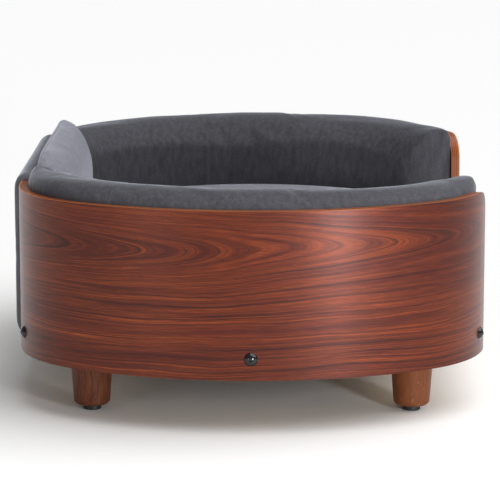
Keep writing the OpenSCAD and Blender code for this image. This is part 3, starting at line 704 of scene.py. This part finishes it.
def bolster_freedom(p):
    """The roll is free to swell above the rim and inward, and held at the liner and deck."""
    free = np.clip((p[:, 2] - deck_top - 10 * MM) / (40 * MM), 0.0, 1.0)
    depth = wall_depth(p)
    near_wall = np.clip((depth - inner_ply) / (14 * MM), 0.0, 1.0)
    above = np.clip((p[:, 2] - RIM_Z + 4 * MM) / (10 * MM), 0.0, 1.0)
    return free * np.maximum(near_wall, above)


def wall_depth(p):
    """Depth of points below the outer face of the shells."""
    x, y = np.abs(p[:, 0]), np.abs(p[:, 1])
    corner_side = y * math.cos(BEND) - (x - MID_X) * math.sin(BEND) > 0
    mid = MID_RADIUS - np.hypot(x - MID_X, y)
    tight = CORNER_RADIUS - np.hypot(x - np.minimum(x, END_X), y - CORNER_Y)
    return np.where(corner_side, tight, mid)


def top_share(p):
    """1 at the crest of a roll, fading to 0 inside the shell."""
    return np.clip((p[:, 2] - 200 * MM) / (80 * MM), 0, 1)


bolster = loft("bolster_velvet_right", bolster_rings())
puff(bolster, 5 * MM, 3.0, 5 * MM, bolster_freedom)
mirrored = bolster.data.copy()
flipped = points_of(mirrored)
flipped[:, 0] *= -1
# the left-hand roll is stuffed a little fuller in its back corner
lift = np.interp(flipped[:, 1] / MM, *LEFT_LIFT)
flipped[:, 2] += lift * MM * top_share(flipped)
set_points(mirrored, flipped)
mirrored.flip_normals()
left_bolster = bpy.data.objects.new("bolster_velvet_left", mirrored)
bpy.context.scene.collection.objects.link(left_bolster)
# the foam of the right-hand roll has settled, most at both ends
settled = points_of(bolster.data)
drop = np.interp(settled[:, 1] / MM, *RIGHT_DROP)
settled[:, 2] -= drop * MM * top_share(settled)
set_points(bolster.data, settled)
for piece, end in ((bolster, "right"), (left_bolster, "left")):
    dress(piece, VELVET)
    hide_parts("bolster_" + end)
    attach(piece, "bed_frame")

# ---------------------------------------------------------------- seat cushion
# A loose boxed cushion: a foam block in a zipped velvet cover. Its top is crowned, and a
# corded seam runs round its top and bottom edges.
seat_low, seat_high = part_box("seat_cover")
SEAT_EDGE_Z = seat_high.z - 38 * MM
seat_half = HOLLOW_HALF - 3 * MM
seat_radius = HOLLOW_RADIUS - 3 * MM
front_half = END_X - 4 * MM


def seat_outline(inset, steps=44):
    """The cushion's plan: round ends, a straight back and a tongue between the shells' fronts."""
    radius = seat_radius - inset
    back = seat_high.y - 1 * MM - inset
    front = seat_low.y + 1 * MM + inset
    side = front_half - inset
    join = -(seat_half - inset)
    top_angle = math.asin(back / radius)
    low_angle = math.asin(join / radius)
    right = [(radius * math.cos(a), radius * math.sin(a))
             for a in np.linspace(low_angle, top_angle, steps)]
    tongue = 22 * MM
    nose = [(side - tongue + tongue * math.sin(a), front + tongue - tongue * math.cos(a))
            for a in np.linspace(0, math.pi / 2, 7)]
    half = [(0.0, front)] + nose + right + [(0.0, back)]
    return half + [(-x, y) for x, y in reversed(half[1:-1])]


def seat_skin():
    """Rings from the middle of the underside, out to the sides and back to the crown."""
    low = seat_low.z + 1 * MM
    rings = []
    for share in (0.15, 0.5, 0.8):
        rings.append([(x * share, y * share, low) for x, y in seat_outline(0.0)])
    rise = SEAT_EDGE_Z - low
    for inset, height in ((7, 0.0), (2, 0.035), (0, 0.1), (-1, 0.5), (0, 0.9), (3, 0.97)):
        rings.append([(x, y, low + rise * height) for x, y in seat_outline(inset * MM)])
    for share in (0.97, 0.9, 0.8, 0.66, 0.5, 0.33, 0.15):
        crown = (seat_high.z - SEAT_EDGE_Z - 4 * MM) * (1 - share ** 1.9)
        rings.append([(x * share, y * share, SEAT_EDGE_Z + crown) for x, y in seat_outline(3 * MM)])
    return rings


def seam_cord(name, host, outline, height, radius):
    """A thin piping cord that lies on the host's skin near an outline."""
    tree_of = BVHTree.FromObject(host, bpy.context.evaluated_depsgraph_get())
    line = []
    for x, y in outline:
        hit, normal, _, _ = tree_of.find_nearest(Vector((x, y, height)))
        line.append(hit + normal * radius * 0.35)
    for _ in range(3):
        line = [(line[i - 1] + line[i] * 2 + line[(i + 1) % len(line)]) / 4
                for i in range(len(line))]
    rings = []
    count = len(line)
    for i in range(count):
        ahead = (line[(i + 1) % count] - line[i - 1]).normalized()
        side = ahead.cross(Vector((0, 0, 1))).normalized()
        up = side.cross(ahead)
        rings.append([line[i] + (side * math.cos(a) + up * math.sin(a)) * radius
                      for a in [2 * math.pi * k / 8 for k in range(8)]])
    vertices = [p for ring in rings for p in ring]
    faces = []
    for i in range(count):
        here, there = i * 8, (i + 1) % count * 8
        for k in range(8):
            turn = (k + 1) % 8
            faces.append((here + k, here + turn, there + turn, there + k))
    return new_piece(name, vertices, faces)


seat = loft("seat_cushion_velvet", seat_skin())
puff(seat, 6 * MM, 2.6, 4 * MM,
     lambda p: np.clip((p[:, 2] - seat_low.z - 4 * MM) / (18 * MM), 0, 1))
# painted light: the seat and its seam cords wear the middle, paler copy of the velvet
dress(seat, PAINTED_HALF_LIGHT_VELVET)
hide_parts("seat_cover", "seat_foam")
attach(seat, "seat_cushion")
for name, height in (("seat_seam_top", SEAT_EDGE_Z), ("seat_seam_bottom", seat_low.z + 6 * MM)):
    cord = seam_cord(name, seat, seat_outline(-2 * MM, 70), height, 1.7 * MM)
    dress(cord, PAINTED_HALF_LIGHT_VELVET)
    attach(cord, "seat_cushion")

# ---------------------------------------------------------------- back pillow
# A loose velvet case, filled with fibre, stands against the back panel. Its back is flat,
# its top rolls forward and its front bellies out over the seat.
pillow_low, pillow_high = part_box("pillow_cover")
outline = section(pillow_low.y + 8 * MM, pillow_high.y - 0.5 * MM, pillow_low.z + 1 * MM,
                  pillow_high.z + 6 * MM, (44 * MM, 78 * MM), (8 * MM, 11 * MM), 9 * MM)
pillow = soft_slab("back_pillow_velvet", pillow_high.x + 1 * MM, outline, 9 * MM)
# the fill has slipped away from the left-hand end, which hangs lower
SLACK_LENGTH, SLACK_DROP, PILLOW_HEIGHT = 75 * MM, 13 * MM, 180 * MM
shape = points_of(pillow.data)
slack = np.clip((SLACK_LENGTH - pillow_high.x - shape[:, 0]) / SLACK_LENGTH, 0, 1) ** 2
shape[:, 2] -= SLACK_DROP * slack * np.clip((shape[:, 2] - pillow_low.z) / PILLOW_HEIGHT, 0, 1)
set_points(pillow.data, shape)
puff(pillow, 5 * MM, 3.0, 4 * MM,
     lambda p: np.clip((pillow_high.y - p[:, 1]) / (14 * MM), 0.1, 1.0)
     * np.clip((p[:, 2] - pillow_low.z) / (20 * MM), 0, 1))
# painted light: the pillow wears the palest copy of the velvet
dress(pillow, PAINTED_LIGHT_VELVET)
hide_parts("pillow_cover", "pillow_fill")
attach(pillow, "back_pillow")

# ---------------------------------------------------------------- studio
# A pale floor and a broad soft light from above and a little from the front. Two low strip
# lights draw the satin shine on the near shell. The camera is low, off the left-hand end.
bpy.ops.mesh.primitive_plane_add(size=30, location=(0, 0, 0))
floor = bpy.context.object
floor.name = "floor"
# Matt white backdrop paper: a soft shadow and no shine.
FLOOR, tree, shader = material("studio_floor_white", Roughness=0.7)
shader.inputs["Base Color"].default_value = linear("fafafa")
dress(floor, FLOOR)

world = bpy.context.scene.world or bpy.data.worlds.new("studio")
bpy.context.scene.world = world
world.use_nodes = True
backdrop = world.node_tree.nodes["Background"]
backdrop.inputs["Color"].default_value = (1.0, 1.0, 1.0, 1.0)
backdrop.inputs["Strength"].default_value = 0.29


def soft_strip(name, place, target, width, height, power):
    """An upright strip light that faces a target point."""
    lamp = bpy.data.lights.new(name, "AREA")
    lamp.shape = "RECTANGLE"
    lamp.size = width
    lamp.size_y = height
    lamp.energy = power
    made = bpy.data.objects.new(name, lamp)
    made.location = place
    made.rotation_euler = (Vector(target) - Vector(place)).to_track_quat("-Z", "Y").to_euler()
    bpy.context.scene.collection.objects.link(made)


soft_strip("front_strip", (-2.0, -1.08, 0.36), (-0.4, -0.17, 0.15), 0.26, 0.7, 25)
soft_strip("back_strip", (-2.0, 1.3, 0.42), (-0.4, 0.17, 0.15), 0.3, 0.8, 3)
sun = bpy.data.lights.new("skylight", "SUN")
sun.energy = 2.8
sun.angle = math.radians(75)
skylight = bpy.data.objects.new("skylight", sun)
skylight.rotation_euler = Vector((0.0, 0.5, -0.87)).to_track_quat("-Z", "Y").to_euler()
bpy.context.scene.collection.objects.link(skylight)
bpy.context.scene.view_settings.view_transform = "Standard"

LENS = 188.06
CAMERA_PITCH = math.radians(10.53)
CAMERA_YAW = 0.0096
camera_data = bpy.data.cameras.new("camera")
camera_data.lens = LENS
camera_data.sensor_width = 36.0
camera_data.clip_end = 60.0
camera = bpy.data.objects.new("camera", camera_data)
camera.location = (-3.537, -0.029, 0.8096)
aim = Vector((math.cos(CAMERA_PITCH), CAMERA_YAW * math.cos(CAMERA_PITCH), -math.sin(CAMERA_PITCH)))
camera.rotation_euler = aim.to_track_quat("-Z", "Y").to_euler()
bpy.context.scene.collection.objects.link(camera)
bpy.context.scene.camera = camera
